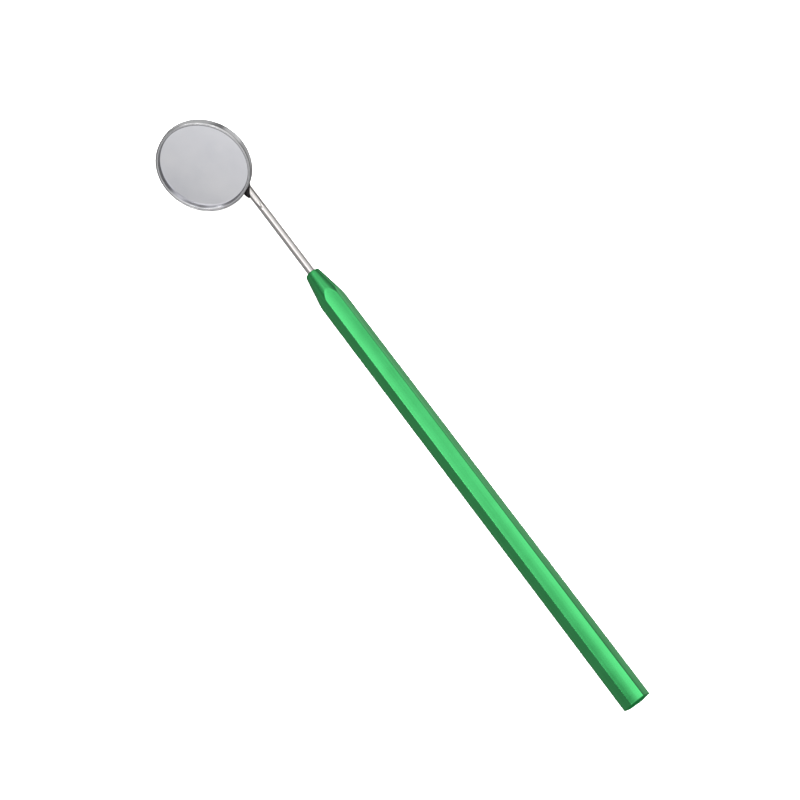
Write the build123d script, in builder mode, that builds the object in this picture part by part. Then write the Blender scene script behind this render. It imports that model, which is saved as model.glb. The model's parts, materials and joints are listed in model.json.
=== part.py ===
"""Mouth mirror: a hexagonal handle with an angled mirror head that screws into its nose.

The handle lies along X on one of its flats, with its nose towards -X. The origin is the
middle of that flat, on the surface the handle lies on. Sizes are in millimetres.
"""

import os
from math import cos, radians, sin, sqrt, tan

from build123d import *

os.makedirs("parts", exist_ok=True)

# Handle: a hexagonal bar with a turned nose and a square end
ACROSS_FLATS = 6.0
HANDLE_LENGTH = 125.0
BAR_CORNER_RADIUS = 0.25
TURNING_RADIUS = ACROSS_FLATS / sqrt(3) + 0.2
NOSE_TIP_RADIUS = 1.9
NOSE_HALF_ANGLE = 9.4
NOSE_EDGE_RADIUS = 0.3
END_EDGE_RADIUS = 0.25
DRILL_POINT_ANGLE = 59
DRILL_SPARE_DEPTH = 0.1

# Stem: a bent wire with a thread on the end that screws into the nose
WIRE_RADIUS = 1.0
STEM_INSERTION = 7.0
STEM_REACH = 27.0
STEM_RISE = 2.6
BEND_ANGLE = 28
BEND_ROLL = 98
BEND_RADIUS = 6.0
STEM_END_SPARE = 0.8
STEM_TIP_BEVEL = 0.2
THREAD_PITCH = 0.4
THREAD_TURNS = 13
THREAD_DEPTH = 0.22
THREAD_GROOVE_HALF_WIDTH = 0.17

# Threaded bush in the nose, and the rubber ring inside it that grips the stem
RUNNING_CLEARANCE = 0.02
PRESS_GAP = 0.01
BUSH_RADIUS = 1.5
BUSH_RECESS = 0.1
BUSH_LENGTH = 7.5
RING_GROOVE_START = 0.7
RING_GROOVE_WIDTH = 0.6
RING_GROOVE_RADIUS = 1.32
RING_WIDTH = 0.5
RING_EDGE_RADIUS = 0.1

# Mirror head
HEAD_TILT = 37.5
HEAD_ROLL = 131
HEAD_SKEW = 6.5
HEAD_RADIUS = 11.7
HEAD_THICKNESS = 2.6
CUP_WALL = 0.4
CUP_FLOOR = 0.35
CUP_BACK_CORNER = 0.7
CUP_INNER_CORNER = 0.3
LIP_EDGE_RADIUS = 0.15
CEMENT_THICKNESS = 0.1
GLASS_THICKNESS = 0.9
GLASS_RADIUS = 10.95
COATING_THICKNESS = 0.05
RETAINER_BACK_RADIUS = 10.75
RETAINER_FRONT_RADIUS = 10.92
RETAINER_SETBACK = 0.08
RETAINER_EDGE_RADIUS = 0.1
WELD_RADIUS = 1.26
WELD_LENGTH = 1.2
WELD_TOE_HEIGHT = 0.06
WELD_HEEL = 0.8
WELD_FOOT = 0.3

# The handle's axis. In turning_plane, x is the depth behind the nose and y the radius.
axis_height = ACROSS_FLATS / 2
nose_point = Vector(-HANDLE_LENGTH / 2, 0, axis_height)
turning_plane = Plane(origin=nose_point, x_dir=(1, 0, 0), z_dir=(0, -1, 0))
handle_axis = Axis(nose_point, (1, 0, 0))

# The wire bends from the handle's axis towards rise_dir, and ends along wire_dir
away_dir = Vector(-1, 0, 0)
rise_dir = Vector(0, cos(radians(BEND_ROLL)), sin(radians(BEND_ROLL)))
wire_dir = away_dir * cos(radians(BEND_ANGLE)) + rise_dir * sin(radians(BEND_ANGLE))
joint_point = nose_point + away_dir * STEM_REACH + rise_dir * STEM_RISE

# The head leans from the handle's axis towards side_dir, its face looks along face_dir, and
# outward_dir points from the joint to the middle of the head
side_dir = Vector(0, cos(radians(HEAD_ROLL)), sin(radians(HEAD_ROLL)))
face_dir = side_dir * cos(radians(HEAD_TILT)) - away_dir * sin(radians(HEAD_TILT))
leaning_dir = away_dir * cos(radians(HEAD_TILT)) + side_dir * sin(radians(HEAD_TILT))
skew_dir = face_dir.cross(leaning_dir)
outward_dir = leaning_dir * cos(radians(HEAD_SKEW)) + skew_dir * sin(radians(HEAD_SKEW))
head_centre = joint_point + outward_dir * HEAD_RADIUS
head_axis = Axis(head_centre, face_dir)
head_plane = Plane(origin=head_centre, x_dir=outward_dir, z_dir=face_dir)

# Planes for turned profiles: x is the radius and y the height along the face direction in
# head_section, and x runs back along the wire and y is the radius in joint_section
across_dir = face_dir.cross(outward_dir)
head_section = Plane(origin=head_centre, x_dir=-outward_dir, z_dir=across_dir)
joint_section = Plane(origin=joint_point, x_dir=-wire_dir, z_dir=away_dir.cross(rise_dir))
joint_axis = Axis(joint_point, wire_dir)

# Heights through the head, from the middle of its thickness
back_height = -HEAD_THICKNESS / 2
lip_height = HEAD_THICKNESS / 2
floor_height = back_height + CUP_FLOOR
glass_back = floor_height + CEMENT_THICKNESS
glass_front = glass_back + GLASS_THICKNESS
coating_front = glass_front + COATING_THICKNESS
cup_bore_radius = HEAD_RADIUS - CUP_WALL
fitted_radius = cup_bore_radius - PRESS_GAP

# The wire's route: along the handle's axis, round one bend, then straight to the rim
bend_rise = BEND_RADIUS * (1 - cos(radians(BEND_ANGLE)))
last_run = (STEM_RISE - bend_rise) / sin(radians(BEND_ANGLE))
bend_end = joint_point - wire_dir * last_run
bend_reach = BEND_RADIUS * sin(radians(BEND_ANGLE)) + last_run * cos(radians(BEND_ANGLE))
bend_start = nose_point + away_dir * (STEM_REACH - bend_reach)
wire_end = nose_point - away_dir * STEM_INSERTION
bush_bore_radius = WIRE_RADIUS + RUNNING_CLEARANCE


def finish_piece(builder, node):
    """Label a finished sub-part and write it as its own STEP file."""
    builder.part.label = node
    export_step(builder.part, f"parts/{node}.step")


# Handle: hexagonal bar, turned to a cone at the nose, rounded round its end, then drilled
with BuildPart() as handle:
    with BuildSketch(Plane.YZ.offset(-HANDLE_LENGTH / 2)):
        with Locations((0, axis_height)):
            RegularPolygon(ACROSS_FLATS / 2, 6, major_radius=False)
    extrude(amount=HANDLE_LENGTH)
    fillet(handle.edges().filter_by(Axis.X), BAR_CORNER_RADIUS)
    fillet(handle.edges().group_by(Axis.X)[-1], END_EDGE_RADIUS)
    with BuildSketch(turning_plane):
        cone_length = (TURNING_RADIUS - NOSE_TIP_RADIUS) / tan(radians(NOSE_HALF_ANGLE))
        with BuildLine():
            Polyline(
                (0, 0),
                (0, NOSE_TIP_RADIUS),
                (cone_length, TURNING_RADIUS),
                (HANDLE_LENGTH, TURNING_RADIUS),
                (HANDLE_LENGTH, 0),
                close=True,
            )
        make_face()
    revolve(axis=handle_axis, mode=Mode.INTERSECT)
    nose_edge = handle.edges().filter_by(GeomType.CIRCLE).group_by(Axis.X)[0]
    fillet(nose_edge, NOSE_EDGE_RADIUS)
    with BuildSketch(turning_plane):
        bore_radius = BUSH_RADIUS + PRESS_GAP
        bore_depth = BUSH_RECESS + BUSH_LENGTH + DRILL_SPARE_DEPTH
        point_depth = bore_depth + bore_radius / tan(radians(DRILL_POINT_ANGLE))
        with BuildLine():
            Polyline(
                (0, 0),
                (0, bore_radius),
                (bore_depth, bore_radius),
                (point_depth, 0),
                close=True,
            )
        make_face()
    revolve(axis=handle_axis, mode=Mode.SUBTRACT)
finish_piece(handle, "handle")


# Threaded bush: pressed into the nose, with a groove near its mouth for the gripping ring
with BuildPart() as thread_bush:
    with BuildSketch(turning_plane):
        bush_end = BUSH_RECESS + BUSH_LENGTH
        groove_end = RING_GROOVE_START + RING_GROOVE_WIDTH
        with BuildLine():
            Polyline(
                (BUSH_RECESS, bush_bore_radius),
                (BUSH_RECESS, BUSH_RADIUS),
                (bush_end, BUSH_RADIUS),
                (bush_end, bush_bore_radius),
                (groove_end, bush_bore_radius),
                (groove_end, RING_GROOVE_RADIUS),
                (RING_GROOVE_START, RING_GROOVE_RADIUS),
                (RING_GROOVE_START, bush_bore_radius),
                close=True,
            )
        make_face()
    revolve(axis=handle_axis)
finish_piece(thread_bush, "thread_bush")


# Gripping ring: a rubber ring round the stem, in the bush's groove
with BuildPart() as gripping_ring:
    with BuildSketch(turning_plane):
        ring_middle = RING_GROOVE_START + RING_GROOVE_WIDTH / 2
        ring_outer_radius = RING_GROOVE_RADIUS - RUNNING_CLEARANCE
        ring_height = ring_outer_radius - bush_bore_radius
        with Locations((ring_middle, bush_bore_radius + ring_height / 2)):
            RectangleRounded(RING_WIDTH, ring_height, RING_EDGE_RADIUS)
    revolve(axis=handle_axis)
finish_piece(gripping_ring, "gripping_ring")


# Head space: the head's whole outer shape, which the stem and its weld are cut to fit
with BuildPart() as head_space:
    with BuildSketch(head_section) as head_outline:
        with Locations((0, back_height)):
            Rectangle(HEAD_RADIUS, HEAD_THICKNESS, align=Align.MIN)
        outline_corners = head_outline.vertices().group_by(Axis.X)[-1].sort_by(Axis.Y)
        fillet(outline_corners[0], CUP_BACK_CORNER)
    revolve(axis=head_axis)


# Stem: a wire with one bend, cut to the cup's wall, with the grooves of its thread on the
# straight end
with BuildPart() as stem:
    with BuildLine() as wire_route:
        Line(wire_end, bend_start)
        TangentArc(bend_start, bend_end, tangent=away_dir)
        Line(bend_end, joint_point + wire_dir * STEM_END_SPARE)
    with BuildSketch(Plane(origin=wire_end, x_dir=(0, 1, 0), z_dir=away_dir)):
        Circle(WIRE_RADIUS)
    sweep(path=wire_route.line)
    chamfer(stem.edges().group_by(Axis.X)[-1], STEM_TIP_BEVEL)
    with BuildSketch(turning_plane):
        thread_start = STEM_INSERTION - STEM_TIP_BEVEL - THREAD_TURNS * THREAD_PITCH
        for turn in range(THREAD_TURNS):
            groove_middle = thread_start + (turn + 0.5) * THREAD_PITCH
            with BuildLine():
                Polyline(
                    (groove_middle - THREAD_GROOVE_HALF_WIDTH, WIRE_RADIUS),
                    (groove_middle, WIRE_RADIUS - THREAD_DEPTH),
                    (groove_middle + THREAD_GROOVE_HALF_WIDTH, WIRE_RADIUS),
                    close=True,
                )
            make_face()
    revolve(axis=handle_axis, mode=Mode.SUBTRACT)
    add(head_space.part, mode=Mode.SUBTRACT)
finish_piece(stem, "stem")


# Mirror cup: a shallow drawn dish with a rounded back corner and a rounded lip
with BuildPart() as mirror_cup:
    with BuildSketch(head_section) as cup_profile:
        with BuildLine():
            Polyline(
                (0, back_height),
                (HEAD_RADIUS, back_height),
                (HEAD_RADIUS, lip_height),
                (cup_bore_radius, lip_height),
                (cup_bore_radius, floor_height),
                (0, floor_height),
                close=True,
            )
        make_face()
        outer_corners = cup_profile.vertices().group_by(Axis.X)[-1].sort_by(Axis.Y)
        bore_corners = cup_profile.vertices().group_by(Axis.X)[-2].sort_by(Axis.Y)
        fillet(outer_corners[0], CUP_BACK_CORNER)
        fillet(bore_corners[0], CUP_INNER_CORNER)
        fillet([outer_corners[-1], bore_corners[-1]], LIP_EDGE_RADIUS)
    revolve(axis=head_axis)
finish_piece(mirror_cup, "mirror_cup")


# Cement bed, glass and reflecting coating: three discs stacked on the cup's floor
with BuildPart() as cement_bed:
    with BuildSketch(head_plane.offset(floor_height)):
        Circle(GLASS_RADIUS)
    extrude(amount=CEMENT_THICKNESS)
finish_piece(cement_bed, "cement_bed")

with BuildPart() as mirror_glass:
    with BuildSketch(head_plane.offset(glass_back)):
        Circle(GLASS_RADIUS)
    extrude(amount=GLASS_THICKNESS)
finish_piece(mirror_glass, "mirror_glass")

with BuildPart() as mirror_coating:
    with BuildSketch(head_plane.offset(glass_front)):
        Circle(GLASS_RADIUS)
    extrude(amount=COATING_THICKNESS)
finish_piece(mirror_coating, "mirror_coating")


# Edge seal: a silicone ring between the edge of the glass and the cup's wall
with BuildPart() as edge_seal:
    seal_back = floor_height + CUP_INNER_CORNER + PRESS_GAP
    with BuildSketch(head_plane.offset(seal_back)):
        Circle(fitted_radius)
        Circle(GLASS_RADIUS + PRESS_GAP, mode=Mode.SUBTRACT)
    extrude(amount=coating_front - seal_back)
finish_piece(edge_seal, "edge_seal")


# Retaining ring: pressed into the cup in front of the glass, with a flared inner wall
with BuildPart() as retaining_ring:
    with BuildSketch(head_section) as retainer_profile:
        retainer_height = lip_height - RETAINER_SETBACK
        with BuildLine():
            Polyline(
                (RETAINER_BACK_RADIUS, coating_front),
                (fitted_radius, coating_front),
                (fitted_radius, retainer_height),
                (RETAINER_FRONT_RADIUS, retainer_height),
                close=True,
            )
        make_face()
        fillet(retainer_profile.vertices().group_by(Axis.Y)[-1], RETAINER_EDGE_RADIUS)
    revolve(axis=head_axis)
finish_piece(retaining_ring, "retaining_ring")


# Stem weld: a bead round the end of the wire, which joins it to the cup's wall
with BuildPart() as stem_weld:
    with BuildSketch(joint_section):
        weld_bore_radius = WIRE_RADIUS + PRESS_GAP
        weld_toe_radius = WIRE_RADIUS + WELD_TOE_HEIGHT
        bead_middle = (WELD_LENGTH / 3, (WELD_RADIUS + weld_toe_radius) / 2)
        with BuildLine():
            Polyline(
                (WELD_LENGTH, weld_toe_radius),
                (WELD_LENGTH, weld_bore_radius),
                (-WELD_HEEL, weld_bore_radius),
                (-WELD_HEEL, WELD_RADIUS),
                (WELD_FOOT, WELD_RADIUS),
            )
            ThreePointArc((WELD_FOOT, WELD_RADIUS), bead_middle, (WELD_LENGTH, weld_toe_radius))
        make_face()
    revolve(axis=joint_axis)
    add(head_space.part, mode=Mode.SUBTRACT)
finish_piece(stem_weld, "stem_weld")
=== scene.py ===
"""Mouth mirror: the visible pieces, materials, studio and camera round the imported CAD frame.

All sizes are in metres, in the CAD frame. The handle lies along X with its nose towards -X, and
the head is beyond the nose. The handle, the cup and the retaining ring are made in local frames
and then placed. The handle's frame has its origin in the middle of the nose's end, and X back
along the handle. The head's frame has its origin in the middle of the head, X away from the
joint with the wire, and Z out of the mirror's face.
"""

import json
import math

import bmesh
import bpy
from mathutils import Matrix, Quaternion, Vector, noise

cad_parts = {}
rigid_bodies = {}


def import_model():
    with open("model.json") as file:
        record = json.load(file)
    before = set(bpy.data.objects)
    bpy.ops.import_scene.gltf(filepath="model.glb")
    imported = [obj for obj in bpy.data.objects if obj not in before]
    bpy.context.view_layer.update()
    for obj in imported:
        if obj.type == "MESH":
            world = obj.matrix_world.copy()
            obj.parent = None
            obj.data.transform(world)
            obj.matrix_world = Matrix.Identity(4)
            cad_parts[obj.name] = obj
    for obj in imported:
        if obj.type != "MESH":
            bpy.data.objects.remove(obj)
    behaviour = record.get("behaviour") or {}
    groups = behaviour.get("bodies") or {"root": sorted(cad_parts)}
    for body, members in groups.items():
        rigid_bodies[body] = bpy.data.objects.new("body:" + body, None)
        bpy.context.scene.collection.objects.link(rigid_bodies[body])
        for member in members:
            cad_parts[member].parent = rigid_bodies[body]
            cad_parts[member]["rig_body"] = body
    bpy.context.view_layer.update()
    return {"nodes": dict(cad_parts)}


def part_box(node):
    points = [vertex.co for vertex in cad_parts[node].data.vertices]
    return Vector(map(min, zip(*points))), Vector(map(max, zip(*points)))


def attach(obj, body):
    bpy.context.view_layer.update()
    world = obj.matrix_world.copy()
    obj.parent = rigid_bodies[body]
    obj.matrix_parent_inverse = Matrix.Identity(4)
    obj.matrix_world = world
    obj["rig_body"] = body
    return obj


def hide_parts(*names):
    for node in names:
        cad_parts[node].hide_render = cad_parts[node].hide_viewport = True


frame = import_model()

MM = 0.001

# Handle
CROWN_RADIUS = 19 * MM
BAR_CORNER_RADIUS = 0.4 * MM
BAR_CORNER_REACH = math.radians(4.2)
NOSE_TIP_RADIUS = 1.9 * MM
NOSE_HALF_ANGLE = math.radians(9.4)
NOSE_EDGE_RADIUS = 0.38 * MM
END_EDGE_RADIUS = 0.25 * MM
END_FACE_DEPTH = 0.02 * MM
BORE_RADIUS = 1.51 * MM
BORE_DEPTH = 7.7 * MM
BORE_MOUTH_BEVEL = 0.04 * MM
DRILL_POINT_LENGTH = 0.88 * MM
TURNED_BLEND = 0.08 * MM
CONE_START_DEPTH = 1 * MM

# Stem. Depths are distances behind the nose's end
WIRE_RADIUS = 1 * MM
STEM_INSERTION = 7 * MM
STEM_REACH = 27 * MM
STEM_RISE = 2.6 * MM
BEND_ANGLE = math.radians(28)
BEND_ROLL = math.radians(98)
BEND_RADIUS = 6 * MM
STEM_TIP_BEVEL = 0.2 * MM
THREAD_PITCH = 0.4 * MM
THREAD_TURNS = 13
THREAD_DEPTH = 0.22 * MM
THREAD_GROOVE_SHARE = 0.85
THREAD_START_GAP = 0.01 * MM
THREAD_FAR_DEPTH = STEM_INSERTION - STEM_TIP_BEVEL
THREAD_NEAR_DEPTH = THREAD_FAR_DEPTH - THREAD_TURNS * THREAD_PITCH

# Weld. Its short side is a share of its length, and its lumps' scales are per metre
WELD_RADIUS = 1.26 * MM
WELD_LENGTH = 1.7 * MM
WELD_SHORT_SIDE = 0.1
WELD_SIDE_FALLOFF = 1.5
WELD_SWELLING = 0.35 * MM
WELD_TOE_HEIGHT = 0.03 * MM
WELD_LUMP_DEPTH = 0.07 * MM
COARSE_LUMP_SCALE = 1300
FINE_LUMP_SCALE = 3300
FINE_LUMP_SHARE = 0.5

# Head. The coating's middle and front are heights above the middle of the head
HEAD_TILT = math.radians(37.5)
HEAD_ROLL = math.radians(131)
HEAD_SKEW = math.radians(6.5)
HEAD_RADIUS = 11.7 * MM
HEAD_THICKNESS = 2.6 * MM
CUP_WALL = 0.4 * MM
CUP_FLOOR = 0.35 * MM
CUP_BACK_CORNER = 0.7 * MM
CUP_INNER_CORNER = 0.3 * MM
LIP_OUTER_RADIUS = 0.28 * MM
LIP_INNER_RADIUS = 0.1 * MM
COATING_MIDDLE = 0.075 * MM
COATING_FRONT = 0.1 * MM
PRESS_GAP = 0.01 * MM
RETAINER_BACK_RADIUS = 10.75 * MM
RETAINER_FRONT_RADIUS = 10.92 * MM
RETAINER_SETBACK = 0.08 * MM
RETAINER_OUTER_RADIUS = 0.05 * MM
RETAINER_INNER_RADIUS = 0.22 * MM

# Fineness of the meshes
HEAD_SEGMENTS = 288
WIRE_SEGMENTS = 72
FLAT_ANGLE_STEP = math.radians(1.5)
CORNER_STEPS = 6
ARC_STEPS = 8
CONE_STEPS = 12
FLAT_TIP_STEPS = 48
BAR_STEPS = 40
THREAD_STEPS_PER_TURN = 16
WIRE_STEPS = 24
BEND_STEPS = 24
WELD_STEPS = 14
SHARP_ANGLE = math.radians(35)

# How far to look for the head's wall along the wire, and how often to halve that stretch
WALL_SEARCH_BACK = 2 * MM
WALL_SEARCH_AHEAD = 1.5 * MM
WALL_SEARCH_HALVINGS = 24

# The handle's axis, the wire's directions and the head's directions, which the CAD shares
handle_low, handle_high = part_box("handle")
handle_length = handle_high.x - handle_low.x
flat_distance = (handle_high.z - handle_low.z) / 2
nose_point = Vector((handle_low.x, 0, handle_low.z + flat_distance))
away_dir = Vector((-1, 0, 0))
rise_dir = Vector((0, math.cos(BEND_ROLL), math.sin(BEND_ROLL)))
wire_dir = away_dir * math.cos(BEND_ANGLE) + rise_dir * math.sin(BEND_ANGLE)
bend_normal = away_dir.cross(rise_dir)
side_dir = Vector((0, math.cos(HEAD_ROLL), math.sin(HEAD_ROLL)))
face_dir = side_dir * math.cos(HEAD_TILT) - away_dir * math.sin(HEAD_TILT)
leaning_dir = away_dir * math.cos(HEAD_TILT) + side_dir * math.sin(HEAD_TILT)
skew_dir = face_dir.cross(leaning_dir)
outward_dir = leaning_dir * math.cos(HEAD_SKEW) + skew_dir * math.sin(HEAD_SKEW)
coating_low, coating_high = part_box("mirror_coating")
head_centre = (coating_low + coating_high) / 2 - face_dir * COATING_MIDDLE
joint_point = head_centre - outward_dir * HEAD_RADIUS


def local_frame(origin, x_dir, z_dir):
    """The matrix that places a local frame with these X and Z directions at origin."""
    y_dir = z_dir.cross(x_dir)
    turn = Matrix((x_dir, y_dir, z_dir)).transposed().to_4x4()
    return Matrix.Translation(origin) @ turn


# The bush's frame is only for its turning marks, so its Z lies along the handle
handle_frame = local_frame(nose_point, Vector((1, 0, 0)), Vector((0, 0, 1)))
bush_frame = local_frame(nose_point, Vector((0, 0, 1)), Vector((1, 0, 0)))
head_frame = local_frame(head_centre, outward_dir, face_dir)


# ---------------------------------------------------------------- mesh helpers


def spaced(start, end, count):
    """Evenly spaced values from start up to but not including end."""
    return [start + (end - start) * i / count for i in range(count)]


def rounded(points, radii):
    """A profile through 2-D points, each corner rounded to its radius, or sharp where it is 0."""
    profile = []
    for i, (point, radius) in enumerate(zip(points, radii)):
        corner = Vector(point)
        if radius == 0:
            profile.append(corner)
            continue
        before = (Vector(points[i - 1]) - corner).normalized()
        after = (Vector(points[(i + 1) % len(points)]) - corner).normalized()
        half_angle = before.angle(after) / 2
        centre = corner + (before + after).normalized() * radius / math.sin(half_angle)
        start = corner + before * radius / math.tan(half_angle) - centre
        end = corner + after * radius / math.tan(half_angle) - centre
        sweep = start.angle_signed(end)
        for step in range(ARC_STEPS + 1):
            spoke = start.copy()
            spoke.rotate(Matrix.Rotation(-sweep * step / ARC_STEPS, 2))
            profile.append(centre + spoke)
    return profile


def skin(name, rings, place, wrap=False, attribute=None):
    """A closed mesh through rings of points, placed. A ring of one point closes an end.

    With wrap, the last ring joins the first. With an attribute's name, each point has a fourth
    number, which is stored under that name.
    """
    mesh = bpy.data.meshes.new(name)
    bm = bmesh.new()
    layer = bm.verts.layers.float.new(attribute) if attribute else None
    made = []
    for ring in rings:
        made.append([bm.verts.new(point[:3]) for point in ring])
        if layer:
            for vert, point in zip(made[-1], ring):
                vert[layer] = point[3]
    pairs = list(zip(made, made[1:]))
    if wrap:
        pairs.append((made[-1], made[0]))
    for first, second in pairs:
        count = max(len(first), len(second))
        for i in range(count):
            corners = [first[i % len(first)], first[(i + 1) % len(first)]]
            corners += [second[(i + 1) % len(second)], second[i % len(second)]]
            bm.faces.new(list(dict.fromkeys(corners)))
    bmesh.ops.transform(bm, matrix=place, verts=bm.verts)
    bmesh.ops.recalc_face_normals(bm, faces=bm.faces)
    bm.to_mesh(mesh)
    bm.free()
    mesh.shade_smooth()
    mesh.set_sharp_from_angle(angle=SHARP_ANGLE)
    piece = bpy.data.objects.new(name, mesh)
    bpy.context.scene.collection.objects.link(piece)
    return piece


def lathe_rings(profile):
    """Rings round the head's Z for a profile of (radius, height) points."""
    rings = []
    for radius, height in profile:
        if radius <= 0:
            rings.append([(0, 0, height)])
            continue
        ring = []
        for angle in spaced(0, 2 * math.pi, HEAD_SEGMENTS):
            ring.append((radius * math.cos(angle), radius * math.sin(angle), height))
        rings.append(ring)
    return rings


def finish_piece(piece, node, material):
    """Stands the piece in for its CAD node, on that node's body and with its finish."""
    body = frame["nodes"][node]["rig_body"]
    piece.data.materials.append(material)
    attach(piece, body)
    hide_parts(node)


# ---------------------------------------------------------------- handle


def bar_angles():
    """Angles round the bar, close together at its six corners."""
    angles = []
    for side in range(6):
        corner = side * math.pi / 3
        start = corner - BAR_CORNER_REACH
        flat_start = corner + BAR_CORNER_REACH
        flat_end = corner + math.pi / 3 - BAR_CORNER_REACH
        flat_steps = round((flat_end - flat_start) / FLAT_ANGLE_STEP)
        angles += spaced(start, flat_start, 2 * CORNER_STEPS)
        angles += spaced(flat_start, flat_end, flat_steps)
    return angles


def arc_reach(centre, radius, angle):
    """How far a ray at an angle to the line through an arc's centre goes before it meets it."""
    across = centre * math.sin(angle)
    return centre * math.cos(angle) + math.sqrt(radius**2 - across**2)


def bar_radius(angle):
    """Distance from the axis to the bar's outline: slightly crowned flats, rounded corners.

    Each flat and each corner is an arc. A centre is given by its distance from the axis, along
    the line to the middle of the flat or to the corner, and is less than 0 if it lies beyond the
    axis. The two arcs touch at the angle 'meeting' from the middle of the flat.
    """
    half_flat = math.pi / 6
    off_flat = abs(angle % (math.pi / 3) - half_flat)
    crown_centre = flat_distance - CROWN_RADIUS
    centre_distance = CROWN_RADIUS - BAR_CORNER_RADIUS
    corner_centre = arc_reach(crown_centre, centre_distance, half_flat)
    stretch = CROWN_RADIUS / centre_distance
    meeting_along = crown_centre + (corner_centre * math.cos(half_flat) - crown_centre) * stretch
    meeting_across = corner_centre * math.sin(half_flat) * stretch
    meeting = math.atan2(meeting_across, meeting_along)
    if off_flat > meeting:
        return arc_reach(corner_centre, BAR_CORNER_RADIUS, half_flat - off_flat)
    return arc_reach(crown_centre, CROWN_RADIUS, off_flat)


def blended_radius(bar, turned):
    """The smaller of two radii, with a soft edge where they meet."""
    overlap = max(TURNED_BLEND - abs(bar - turned), 0) / TURNED_BLEND
    return min(bar, turned) - overlap**2 * TURNED_BLEND / 4


def turned_profile():
    """(depth behind the nose, turned radius, inset of the bar) from the bore to the end."""
    slope = math.tan(NOSE_HALF_ANGLE)
    largest = bar_radius(0) + TURNED_BLEND
    cone_length = (largest - NOSE_TIP_RADIUS) / slope
    cone_flat_start = (flat_distance - TURNED_BLEND - NOSE_TIP_RADIUS) / slope
    mouth = [
        (BORE_DEPTH, BORE_RADIUS),
        (BORE_MOUTH_BEVEL, BORE_RADIUS),
        (0, BORE_RADIUS + BORE_MOUTH_BEVEL),
        (0, NOSE_TIP_RADIUS),
        (cone_length, largest),
    ]
    profile = [(BORE_DEPTH + DRILL_POINT_LENGTH, 0, 0)]
    profile += [(*point, 0) for point in rounded(mouth, [0, 0, 0, NOSE_EDGE_RADIUS, 0])[:-1]]
    cone_depths = spaced(CONE_START_DEPTH, cone_flat_start, CONE_STEPS)
    cone_depths += spaced(cone_flat_start, cone_length, FLAT_TIP_STEPS)
    for depth in cone_depths:
        profile.append((depth, NOSE_TIP_RADIUS + depth * slope, 0))
    for depth in spaced(cone_length, handle_length - END_EDGE_RADIUS, BAR_STEPS):
        profile.append((depth, largest, 0))
    for turn in [*spaced(0, math.pi / 2, ARC_STEPS), math.pi / 2]:
        depth = handle_length - END_EDGE_RADIUS * (1 - math.sin(turn))
        profile.append((depth, largest, END_EDGE_RADIUS * (1 - math.cos(turn))))
    profile.append((handle_length, flat_distance / 2, 0))
    profile.append((handle_length, 0, 0))
    return profile


def make_handle(material):
    """The hexagonal bar with its cone, bore and end.

    Its attribute 'turned' is 1 where it was cut on the lathe and 0 where it is still as drawn.
    """
    angles = bar_angles()
    rings = []
    for depth, turned, inset in turned_profile():
        if turned <= 0:
            rings.append([(depth, 0, 0, 1)])
            continue
        ring = []
        for angle in angles:
            bar = bar_radius(angle)
            radius = blended_radius(bar, turned) - inset
            share = min(max((bar - turned) / TURNED_BLEND + 0.5, 0), 1)
            ring.append((depth, radius * math.cos(angle), radius * math.sin(angle), share))
        rings.append(ring)
    piece = skin("handle_bar", rings, handle_frame, attribute="turned")
    finish_piece(piece, "handle", material)


# ---------------------------------------------------------------- stem


def head_gap(point):
    """How far a point is from the head's outer wall or back corner, less than 0 inside."""
    x, y, z = head_frame.inverted() @ point
    across = max(math.hypot(x, y) - HEAD_RADIUS + CUP_BACK_CORNER, 0)
    down = max(-z - HEAD_THICKNESS / 2 + CUP_BACK_CORNER, 0)
    return math.hypot(across, down) - CUP_BACK_CORNER


def to_wall(point):
    """The place at which a point moved along the wire's end is PRESS_GAP short of the head."""
    near = point - wire_dir * WALL_SEARCH_BACK
    far = point + wire_dir * WALL_SEARCH_AHEAD
    for _ in range(WALL_SEARCH_HALVINGS):
        middle = (near + far) / 2
        if head_gap(middle) > PRESS_GAP:
            near = middle
        else:
            far = middle
    return near


def stem_route():
    """Points along the wire as (place, direction, depth), from its tip's bevel to its last run.

    The bend and the run after it have the depth at which the straight part ends.
    """
    bend_rise = BEND_RADIUS * (1 - math.cos(BEND_ANGLE))
    last_run = (STEM_RISE - bend_rise) / math.sin(BEND_ANGLE)
    bend_reach = BEND_RADIUS * math.sin(BEND_ANGLE) + last_run * math.cos(BEND_ANGLE)
    straight_end = STEM_REACH - bend_reach
    thread_start = THREAD_FAR_DEPTH - THREAD_START_GAP
    thread_stop = THREAD_NEAR_DEPTH - THREAD_PITCH
    depths = [THREAD_FAR_DEPTH]
    depths += spaced(thread_start, thread_stop, THREAD_STEPS_PER_TURN * THREAD_TURNS)
    depths += spaced(thread_stop, -straight_end, WIRE_STEPS)
    route = [(nose_point - away_dir * depth, away_dir, depth) for depth in depths]
    bend_start = nose_point + away_dir * straight_end
    bend_centre = bend_start + rise_dir * BEND_RADIUS
    for step in range(BEND_STEPS + 1):
        turn = BEND_ANGLE * step / BEND_STEPS
        direction = away_dir * math.cos(turn) + rise_dir * math.sin(turn)
        spoke = away_dir * math.sin(turn) - rise_dir * math.cos(turn)
        route.append((bend_centre + spoke * BEND_RADIUS, direction, -straight_end))
    route.append((joint_point - wire_dir * last_run / 2, wire_dir, -straight_end))
    return route


def thread_cut(depth, angle):
    """How deep the right-handed thread's groove is at a depth behind the nose and an angle."""
    run_out = min(max((depth - THREAD_NEAR_DEPTH) / THREAD_PITCH + 0.5, 0), 1)
    phase = (-depth / THREAD_PITCH - angle / (2 * math.pi)) % 1
    groove = max(1 - abs(phase - 0.5) * 2 / THREAD_GROOVE_SHARE, 0)
    return THREAD_DEPTH * groove * run_out


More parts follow.
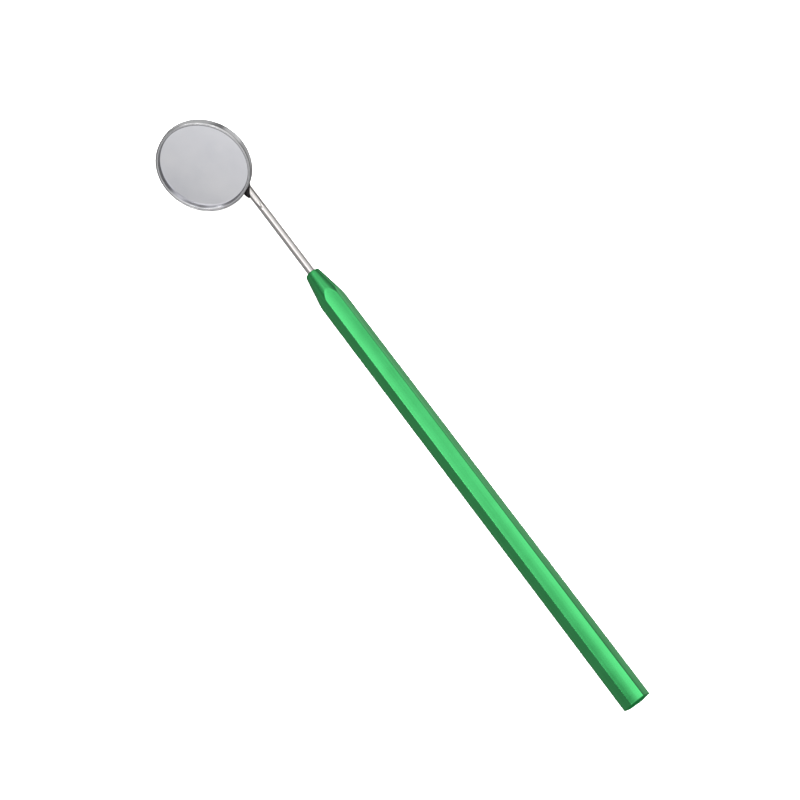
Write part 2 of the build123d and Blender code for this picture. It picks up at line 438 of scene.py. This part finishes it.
def round_wire(place, direction, radii):
    """A ring of points round the wire, evenly turned, with one point for each of the radii."""
    across = bend_normal.cross(direction)
    ring = []
    for i, radius in enumerate(radii):
        angle = 2 * math.pi * i / len(radii)
        ring.append(place + (across * math.cos(angle) + bend_normal * math.sin(angle)) * radius)
    return ring


def make_stem(material):
    """The bent wire, with a real helical thread on the end inside the handle."""
    angles = spaced(0, 2 * math.pi, WIRE_SEGMENTS)
    tip = nose_point - away_dir * STEM_INSERTION
    rings = [[tip], round_wire(tip, away_dir, [WIRE_RADIUS - STEM_TIP_BEVEL] * WIRE_SEGMENTS)]
    for place, direction, depth in stem_route():
        radii = [WIRE_RADIUS - thread_cut(depth, angle) for angle in angles]
        rings.append(round_wire(place, direction, radii))
    end = round_wire(joint_point, wire_dir, [WIRE_RADIUS] * WIRE_SEGMENTS)
    rings.append([to_wall(point) for point in end])
    rings.append([to_wall(joint_point)])
    piece = skin("stem_wire", rings, Matrix.Identity(4))
    finish_piece(piece, "stem", material)


def weld_sinking(point, share):
    """How deep the weld's lumpy skin is sunk at a point, least near the toe and the wall."""
    lump = noise.noise(point * COARSE_LUMP_SCALE)
    lump += FINE_LUMP_SHARE * noise.noise(point * FINE_LUMP_SCALE)
    return (1 + lump) * WELD_LUMP_DEPTH / 2 * math.sqrt(math.sin(math.pi * share))


def weld_ring(share, radius, swelling, lumpy):
    """Points round the wire, a share of the way from the weld's toe to the cup's wall.

    The bead is longest and fullest on the -Y side, in the corner between the wire and the cup.
    """
    ring = []
    for point in round_wire(joint_point, wire_dir, [radius] * WIRE_SEGMENTS):
        inner_side = max(0.5 - (point - joint_point).y / radius / 2, 0) ** WELD_SIDE_FALLOFF
        point += (point - joint_point).normalized() * swelling * inner_side
        wall = to_wall(point)
        length = WELD_LENGTH * (WELD_SHORT_SIDE + (1 - WELD_SHORT_SIDE) * inner_side)
        toe = wall - wire_dir * length
        point = toe.lerp(wall, share)
        if lumpy:
            inward = (joint_point - point).normalized()
            inward -= wire_dir * inward.dot(wire_dir)
            sinking = min(weld_sinking(point, share), radius - WIRE_RADIUS)
            point += inward.normalized() * sinking
        ring.append(point)
    return ring


def make_weld(material):
    """The lumpy bead of weld round the end of the wire, cut to the cup's wall."""
    bore = WIRE_RADIUS + PRESS_GAP
    toe = bore + WELD_TOE_HEIGHT
    rings = [weld_ring(0, bore, swelling=0, lumpy=False)]
    for step in range(WELD_STEPS + 1):
        share = step / WELD_STEPS
        fullness = math.sqrt(math.sin(math.pi / 2 * share))
        radius = toe + (WELD_RADIUS - toe) * fullness
        between = 0 < step < WELD_STEPS
        rings.append(weld_ring(share, radius, WELD_SWELLING * fullness, lumpy=between))
    rings.append(weld_ring(1, bore, swelling=0, lumpy=False))
    piece = skin("weld_bead", rings, Matrix.Identity(4), wrap=True)
    finish_piece(piece, "stem_weld", material)


# ---------------------------------------------------------------- head


def make_cup(material):
    """The drawn cup: a shallow dish with a rounded back corner and a rounded lip."""
    back = -HEAD_THICKNESS / 2
    lip = HEAD_THICKNESS / 2
    bore = HEAD_RADIUS - CUP_WALL
    floor = back + CUP_FLOOR
    corners = [(HEAD_RADIUS, back), (HEAD_RADIUS, lip), (bore, lip), (bore, floor)]
    points = [(0, back), *corners, (0, floor)]
    radii = [0, CUP_BACK_CORNER, LIP_OUTER_RADIUS, LIP_INNER_RADIUS, CUP_INNER_CORNER, 0]
    profile = rounded(points, radii)
    piece = skin("cup_shell", lathe_rings(profile), head_frame)
    finish_piece(piece, "mirror_cup", material)


def make_retainer(material):
    """The ring pressed in front of the glass, with a flared inner wall and a rolled edge."""
    lip = HEAD_THICKNESS / 2 - RETAINER_SETBACK
    outer = HEAD_RADIUS - CUP_WALL - PRESS_GAP
    points = [
        (RETAINER_BACK_RADIUS, COATING_FRONT),
        (outer, COATING_FRONT),
        (outer, lip),
        (RETAINER_FRONT_RADIUS, lip),
    ]
    radii = [0, 0, RETAINER_OUTER_RADIUS, RETAINER_INNER_RADIUS]
    rings = lathe_rings(rounded(points, radii))
    piece = skin("retainer_band", rings, head_frame, wrap=True)
    finish_piece(piece, "retaining_ring", material)


# ---------------------------------------------------------------- materials

# Tints are linear colours, and scales of noise and grain are per metre. Noise is mostly near the
# middle of its range, so only that part is spread over a roughness or a pair of tints
NOISE_SPREAD = (0.25, 0.75)
MOTTLE_START = 0.3
MOTTLE_END = 0.7
GREEN_DARK = (0.045, 0.46, 0.122)
GREEN_LIGHT = (0.068, 0.6, 0.178)
GREEN_SHEEN = (0.75, 1, 0.8)
END_FACE_SHEEN = (0.15, 0.7, 0.3)
END_FACE_ROUGHNESS = 0.5
DRAWN_GRAIN = (40, 2600, 2600)
TURNING_FEED = 0.09 * MM
COAT_WEIGHT = 0.7
STEM_TINT = (0.74, 0.705, 0.69)
CUP_TINT = (0.68, 0.68, 0.69)
RETAINER_TINT = (0.66, 0.66, 0.68)
BUSH_TINT = (0.6, 0.6, 0.6)
STEEL_MOTTLE = 0.93
STEM_GRAIN = (60, 5000, 5000)
STEM_CLOUD_SCALE = 500
TURNED_CLOUD_SCALE = 420
CIRCLE_SCALE = 9000
CIRCLE_DRIFT = 1.5
FILM_DARK = (0.72, 0.725, 0.765)
FILM_LIGHT = (0.785, 0.785, 0.815)
FILM_WEAR_START = 0.5 * MM
FILM_WEAR_END = 3.5 * MM
FILM_WEAR_OUTSIDE = 0.2
WELD_DARK = (0.002, 0.002, 0.002)
WELD_LIGHT = (0.007, 0.006, 0.006)
RUBBER_DARK = (0.012, 0.012, 0.012)
RUBBER_LIGHT = (0.03, 0.03, 0.03)
SILICONE_DARK = (0.17, 0.17, 0.18)
SILICONE_LIGHT = (0.23, 0.23, 0.24)
CEMENT_DARK = (0.68, 0.65, 0.55)
CEMENT_LIGHT = (0.78, 0.75, 0.65)
GLASS_DARK = (0.74, 0.86, 0.82)
GLASS_LIGHT = (0.8, 0.9, 0.87)
SOFT_ROUGHNESS_RANGE = 0.15


class Nodes:
    """A short way to write a material's or a world's node tree."""

    def __init__(self, owner):
        owner.use_nodes = True
        self.tree = owner.node_tree
        self.tree.nodes.clear()

    def add(self, kind, inputs=None, **settings):
        """Adds a node with its settings, and sets or links its inputs by name or number."""
        node = self.tree.nodes.new("ShaderNode" + kind)
        for key, value in settings.items():
            setattr(node, key, value)
        for key, value in (inputs or {}).items():
            if isinstance(value, bpy.types.NodeSocket):
                self.tree.links.new(value, node.inputs[key])
            else:
                node.inputs[key].default_value = value
        return node

    def math(self, operation, *values):
        """The result of a Math node."""
        return self.add("Math", dict(enumerate(values)), operation=operation).outputs[0]

    def ramp(self, factor, *stops):
        """A colour ramp through (position, colour) stops."""
        node = self.add("ValToRGB", {"Fac": factor})
        elements = node.color_ramp.elements
        while len(elements) < len(stops):
            elements.new(0.5)
        for element, (position, colour) in zip(elements, stops):
            element.position = position
            element.color = (*colour, 1)
        return node.outputs["Color"]

    def mottle(self, factor, dark, light):
        """A colour that a noise value takes from dark to light."""
        return self.ramp(factor, (MOTTLE_START, dark), (MOTTLE_END, light))

    def map_range(self, value, old_range, new_range, **settings):
        """Maps a value from one range onto another, and holds it at the ends."""
        inputs = dict(enumerate((value, *old_range, *new_range)))
        return self.add("MapRange", inputs, **settings).outputs[0]

    def spread(self, factor, low, high):
        """Maps the middle of a noise value's range onto low to high."""
        return self.map_range(factor, NOISE_SPREAD, (low, high))

    def mix(self, factor, first, second):
        """A number that goes from first to second as the factor goes from 0 to 1."""
        return self.add("Mix", {0: factor, 2: first, 3: second}).outputs[0]

    def mix_colours(self, factor, first, second):
        """A colour that goes from first to second as the factor goes from 0 to 1."""
        inputs = {0: factor, 6: (*first, 1), 7: (*second, 1)}
        return self.add("Mix", inputs, data_type="RGBA").outputs[2]

    def bump(self, height, strength, distance):
        """A bump normal from a height."""
        inputs = {"Height": height, "Strength": strength, "Distance": distance}
        return self.add("Bump", inputs).outputs["Normal"]

    def surface(self, inputs):
        """The Principled shader, with its constants set on its own sockets, as the output."""
        shader = self.add("BsdfPrincipled", inputs)
        self.add("OutputMaterial", {"Surface": shader.outputs[0]})


def local_place(nodes):
    """The point's place in the CAD frame with the joints at rest, which moves with the piece."""
    return nodes.add("TexCoord").outputs["Object"]


def stretched(nodes, place, scale):
    """The place scaled by a different amount along each axis."""
    return nodes.add("Mapping", {"Vector": place, "Scale": scale}).outputs["Vector"]


def noise_value(nodes, vector, scale, detail, rough=0.6):
    """A noise value from 0 to 1."""
    inputs = {"Vector": vector, "Scale": scale, "Detail": detail, "Roughness": rough}
    return nodes.add("TexNoise", inputs).outputs["Fac"]


def lathe_place(nodes, place, turning_frame):
    """(radius, angle, height) of a place round a frame's Z."""
    inputs = {
        "Vector": place,
        "Location": turning_frame.translation,
        "Rotation": turning_frame.to_euler(),
    }
    local = nodes.add("Mapping", inputs, vector_type="TEXTURE").outputs["Vector"]
    parts = nodes.add("SeparateXYZ", {0: local})
    x, y, height = parts.outputs
    x_squared = nodes.math("MULTIPLY", x, x)
    y_squared = nodes.math("MULTIPLY", y, y)
    radius = nodes.math("SQRT", nodes.math("ADD", x_squared, y_squared))
    angle = nodes.math("ARCTAN2", y, x)
    return radius, angle, height


def green_anodised():
    """Satin green anodised aluminium with grain along the bar and fine ridges on turned surfaces.

    The end face is left duller than the rest.
    """
    material = bpy.data.materials.new("green_anodised_aluminium")
    nodes = Nodes(material)
    place = local_place(nodes)
    along = nodes.add("SeparateXYZ", {0: place}).outputs[0]
    drawn = noise_value(nodes, stretched(nodes, place, DRAWN_GRAIN), scale=1, detail=5)
    cloudy = noise_value(nodes, place, scale=160, detail=3)
    wave = nodes.math("SINE", nodes.math("MULTIPLY", along, 2 * math.pi / TURNING_FEED))
    ridges = nodes.math("MULTIPLY", nodes.math("ADD", wave, 1), 0.5)
    turned = nodes.add("Attribute", attribute_name="turned").outputs["Fac"]
    height = nodes.mix(turned, drawn, ridges)
    half_drawn = nodes.math("MULTIPLY", drawn, 0.5)
    half_cloudy = nodes.math("MULTIPLY", cloudy, 0.5)
    shade = nodes.math("ADD", half_drawn, half_cloudy)
    satin = nodes.spread(shade, low=0.19, high=0.25)
    end_face = nodes.math("GREATER_THAN", along, handle_high.x - END_FACE_DEPTH)
    nodes.surface({
        "Base Color": nodes.ramp(shade, *zip(NOISE_SPREAD, (GREEN_DARK, GREEN_LIGHT))),
        "Metallic": 1,
        "Roughness": nodes.mix(end_face, satin, END_FACE_ROUGHNESS),
        "Normal": nodes.bump(height, strength=0.12, distance=0.004 * MM),
        "Specular Tint": nodes.mix_colours(end_face, GREEN_SHEEN, END_FACE_SHEEN),
        "Coat Weight": nodes.mix(end_face, COAT_WEIGHT, 0.0),
        "Coat Roughness": 0.12,
        "Coat IOR": 1.4,
    })
    return material


def steel_surface(nodes, tint, cloudy, lines, low, high):
    """Mottled steel. Its lines give its bump, and its roughness from low to high."""
    dark = tuple(channel * STEEL_MOTTLE for channel in tint)
    nodes.surface({
        "Base Color": nodes.mottle(cloudy, dark, tint),
        "Metallic": 1,
        "Roughness": nodes.spread(lines, low, high),
        "Normal": nodes.bump(lines, strength=0.1, distance=0.002 * MM),
    })


def polished_steel(name, tint, low, high):
    """Stainless steel polished along the wire, so its fine lines run along X."""
    material = bpy.data.materials.new(name)
    nodes = Nodes(material)
    place = local_place(nodes)
    lines = noise_value(nodes, stretched(nodes, place, STEM_GRAIN), scale=1, detail=4)
    cloudy = noise_value(nodes, place, STEM_CLOUD_SCALE, detail=3)
    steel_surface(nodes, tint, cloudy, lines, low, high)
    return material


def turned_steel(name, tint, turning_frame, low, high):
    """Stainless steel polished while it turned round the frame's Z, so its lines are circles."""
    material = bpy.data.materials.new(name)
    nodes = Nodes(material)
    place = local_place(nodes)
    radius, angle, height = lathe_place(nodes, place, turning_frame)
    circles = nodes.add("CombineXYZ", {
        0: nodes.math("MULTIPLY", radius, CIRCLE_SCALE),
        1: nodes.math("MULTIPLY", height, CIRCLE_SCALE),
        2: nodes.math("MULTIPLY", angle, CIRCLE_DRIFT),
    }).outputs[0]
    lines = noise_value(nodes, circles, scale=1, detail=4)
    cloudy = noise_value(nodes, place, TURNED_CLOUD_SCALE, detail=3)
    steel_surface(nodes, tint, cloudy, lines, low, high)
    return material


def mirror_film():
    """The front-surface reflecting film, with faint smudges that are strongest in its middle."""
    material = bpy.data.materials.new("mirror_film")
    nodes = Nodes(material)
    place = local_place(nodes)
    smudge = noise_value(nodes, place, scale=900, detail=5, rough=0.65)
    haze = noise_value(nodes, place, scale=110, detail=2)
    radius = lathe_place(nodes, place, head_frame)[0]
    worn = nodes.map_range(radius, (FILM_WEAR_START, FILM_WEAR_END), (1.0, FILM_WEAR_OUTSIDE))
    marks = nodes.math("MULTIPLY", nodes.math("SUBTRACT", smudge, 0.5), worn)
    shade = nodes.math("ADD", marks, haze)
    nodes.surface({
        "Base Color": nodes.mottle(shade, FILM_DARK, FILM_LIGHT),
        "Metallic": 1,
        "Roughness": nodes.spread(smudge, low=0.06, high=0.16),
    })
    return material


def near_black_weld():
    """Nearly black weld metal that barely reflects, with a scaly bump."""
    material = bpy.data.materials.new("near_black_weld")
    nodes = Nodes(material)
    place = local_place(nodes)
    scales = noise_value(nodes, place, scale=3200, detail=6, rough=0.7)
    stain = noise_value(nodes, place, scale=900, detail=2)
    nodes.surface({
        "Base Color": nodes.mottle(stain, WELD_DARK, WELD_LIGHT),
        "Roughness": nodes.spread(scales, low=0.55, high=0.8),
        "Specular IOR Level": 0.03,
        "Normal": nodes.bump(scales, strength=0.6, distance=0.02 * MM),
    })
    return material


def soft_matt(name, dark, light, low):
    """A matt rubber, silicone or cured adhesive with a fine grain. Low is its least roughness."""
    material = bpy.data.materials.new(name)
    nodes = Nodes(material)
    place = local_place(nodes)
    grains = noise_value(nodes, place, scale=2500, detail=4)
    nodes.surface({
        "Base Color": nodes.mottle(grains, dark, light),
        "Roughness": nodes.spread(grains, low, low + SOFT_ROUGHNESS_RANGE),
        "Normal": nodes.bump(grains, strength=0.3, distance=0.01 * MM),
    })
    return material


def clear_glass():
    """The mirror's glass, clear, faintly green and slightly uneven in its polish."""
    material = bpy.data.materials.new("clear_glass")
    nodes = Nodes(material)
    place = local_place(nodes)
    polish = noise_value(nodes, place, scale=2000, detail=3)
    nodes.surface({
        "Base Color": nodes.mottle(polish, GLASS_DARK, GLASS_LIGHT),
        "Roughness": nodes.spread(polish, low=0.02, high=0.12),
        "IOR": 1.52,
        "Transmission Weight": 1,
    })
    return material


def paint_node(node, material):
    """Gives a CAD node that no piece replaces its material."""
    for slot in frame["nodes"][node].material_slots:
        slot.material = material


# ---------------------------------------------------------------- studio

# The lamp's power is in watts
FLOOR_SIZE = 6.0
FLOOR_GAP = 0.02 * MM
FLOOR_COLOUR = (0.9, 0.9, 0.9, 1)
BACKDROP_COLOUR = (0.97, 0.97, 0.97, 1)
LAMP_HEIGHT = 1.6
LAMP_SIZE = 4.0
LAMP_POWER = 240.0


def compass(azimuth, elevation):
    """The direction at an azimuth in degrees from -Y towards +X, and at an elevation."""
    a = math.radians(azimuth)
    e = math.radians(elevation)
    return Vector((math.sin(a) * math.cos(e), -math.cos(a) * math.cos(e), math.sin(e)))


# Soft boxes on the studio's dome: azimuth, elevation, radius and soft edge in degrees, and
# strength. Those below 0 are dark flags, which take light away.
SOFT_BOXES = [
    (291, 64, 7, 15, 1.35),
    (318, 50, 6, 12, 0.35),
    (236, 54, 4, 7, 0.5),
    (193, 70, 5, 14, 1.4),
    (250, 40, 12, 14, 0.5),
    (214, 40, 6, 14, 0.55),
    (209, 22, 6, 14, 0.22),
    (150, 52, 14, 16, 0.7),
    (330, 55, 2, 5, 5.0),
    (335, 14, 12, 14, 0.2),
    (345, -22, 14, 14, 0.1),
    (45, 32, 16, 16, 1.15),
    (252, -16, 18, 12, 0.45),
    (203, -16, 8, 8, 0.6),
    (192, -40, 10, 14, 0.3),
    (85, 60, 8, 12, 0.9),
    (20, 60, 2, 3, 8.0),
    (54, 62, 2, 3, 8.0),
    (300, 82, 4, 12, -0.3),
    (58, 46, 4, 12, -0.6),
    (118, 71, 5, 8, -0.6),
]
# How bright the dome is at each height, as the sine of the elevation scaled to 0 to 1
DOME_STOPS = [
    (0.0, 0.3),
    (0.25, 0.28),
    (0.5, 0.3),
    (0.6, 0.26),
    (0.78, 0.3),
    (0.9, 0.66),
    (1.0, 0.72),
]


def make_world():
    """A grey studio dome, bright overhead, with soft boxes.

    The camera sees a plain pale backdrop in its place.
    """
    world = bpy.data.worlds.new("studio")
    bpy.context.scene.world = world
    nodes = Nodes(world)
    direction = nodes.add("TexCoord").outputs["Generated"]
    up = nodes.add("SeparateXYZ", {0: direction}).outputs[2]
    height = nodes.math("MULTIPLY_ADD", up, 0.5, 0.5)
    stops = [(place, (value, value, value)) for place, value in DOME_STOPS]
    level = nodes.ramp(height, *stops)
    for azimuth, elevation, radius, edge, strength in SOFT_BOXES:
        towards = compass(azimuth, elevation)
        facing = nodes.add("VectorMath", {0: direction, 1: towards}, operation="DOT_PRODUCT")
        cosine = facing.outputs["Value"]
        fade = (math.cos(math.radians(radius + edge)), math.cos(math.radians(radius)))
        glow = nodes.map_range(cosine, fade, (0.0, strength), interpolation_type="SMOOTHSTEP")
        level = nodes.math("ADD", level, glow)
    dome = nodes.add("Background", {"Strength": level})
    backdrop = nodes.add("Background", {"Color": BACKDROP_COLOUR, "Strength": 1})
    seen = nodes.add("LightPath").outputs["Is Camera Ray"]
    both = nodes.add("MixShader", {0: seen, 1: dome.outputs[0], 2: backdrop.outputs[0]})
    nodes.add("OutputWorld", {"Surface": both.outputs[0]})


def make_floor():
    """A plain white floor, which metal doesn't reflect, so that only the dome shows in it."""
    material = bpy.data.materials.new("white_floor")
    nodes = Nodes(material)
    nodes.surface({"Base Color": FLOOR_COLOUR, "Roughness": 0.9})
    bm = bmesh.new()
    bmesh.ops.create_grid(bm, x_segments=2, y_segments=2, size=FLOOR_SIZE / 2)
    mesh = bpy.data.meshes.new("floor")
    bm.to_mesh(mesh)
    bm.free()
    mesh.materials.append(material)
    floor = bpy.data.objects.new("floor", mesh)
    floor.location.z = handle_low.z - FLOOR_GAP
    floor.visible_glossy = False
    bpy.context.scene.collection.objects.link(floor)


def make_lamp():
    """One large soft lamp overhead, which lights the floor and isn't reflected."""
    light = bpy.data.lights.new("overhead_softbox", "AREA")
    light.shape = "DISK"
    light.size = LAMP_SIZE
    light.energy = LAMP_POWER
    lamp = bpy.data.objects.new("overhead_softbox", light)
    lamp.location = (0, 0, LAMP_HEIGHT)
    lamp.visible_glossy = False
    bpy.context.scene.collection.objects.link(lamp)


# The azimuth and elevation are in degrees, and the lens's focal length is in millimetres
CAMERA_AIM = Vector((-24.01, -1.52, 3.0)) * MM
CAMERA_AZIMUTH = 70.67
CAMERA_ELEVATION = 70.23
CAMERA_DISTANCE = 383.99 * MM
CAMERA_ROLL = math.radians(-16.61)
CAMERA_LENS = 75.2
CAMERA_CLIP_START = 0.01
CAMERA_CLIP_END = 20


def make_camera():
    """Looks steeply down from beyond the handle's plain end, rolled clockwise."""
    data = bpy.data.cameras.new("camera")
    data.lens = CAMERA_LENS
    data.clip_start = CAMERA_CLIP_START
    data.clip_end = CAMERA_CLIP_END
    camera = bpy.data.objects.new("camera", data)
    back = compass(CAMERA_AZIMUTH, CAMERA_ELEVATION)
    camera.location = CAMERA_AIM + back * CAMERA_DISTANCE
    camera.rotation_mode = "QUATERNION"
    level = (-back).to_track_quat("-Z", "Y")
    camera.rotation_quaternion = level @ Quaternion((0, 0, 1), CAMERA_ROLL)
    bpy.context.scene.collection.objects.link(camera)
    bpy.context.scene.camera = camera


make_camera()
make_world()
make_floor()
make_lamp()
bpy.context.scene.view_settings.view_transform = "Standard"

make_handle(green_anodised())
make_stem(polished_steel("stem_polished_steel", STEM_TINT, low=0.1, high=0.2))
make_weld(near_black_weld())
make_cup(turned_steel("cup_polished_steel", CUP_TINT, head_frame, low=0.1, high=0.2))
make_retainer(turned_steel("retainer_steel", RETAINER_TINT, head_frame, low=0.12, high=0.24))
paint_node("mirror_coating", mirror_film())
paint_node("mirror_glass", clear_glass())
paint_node("thread_bush", turned_steel("bush_steel", BUSH_TINT, bush_frame, low=0.2, high=0.35))
paint_node("gripping_ring", soft_matt("ring_rubber", RUBBER_DARK, RUBBER_LIGHT, low=0.55))
paint_node("edge_seal", soft_matt("seal_silicone", SILICONE_DARK, SILICONE_LIGHT, low=0.35))
paint_node("cement_bed", soft_matt("cured_cement", CEMENT_DARK, CEMENT_LIGHT, low=0.5))
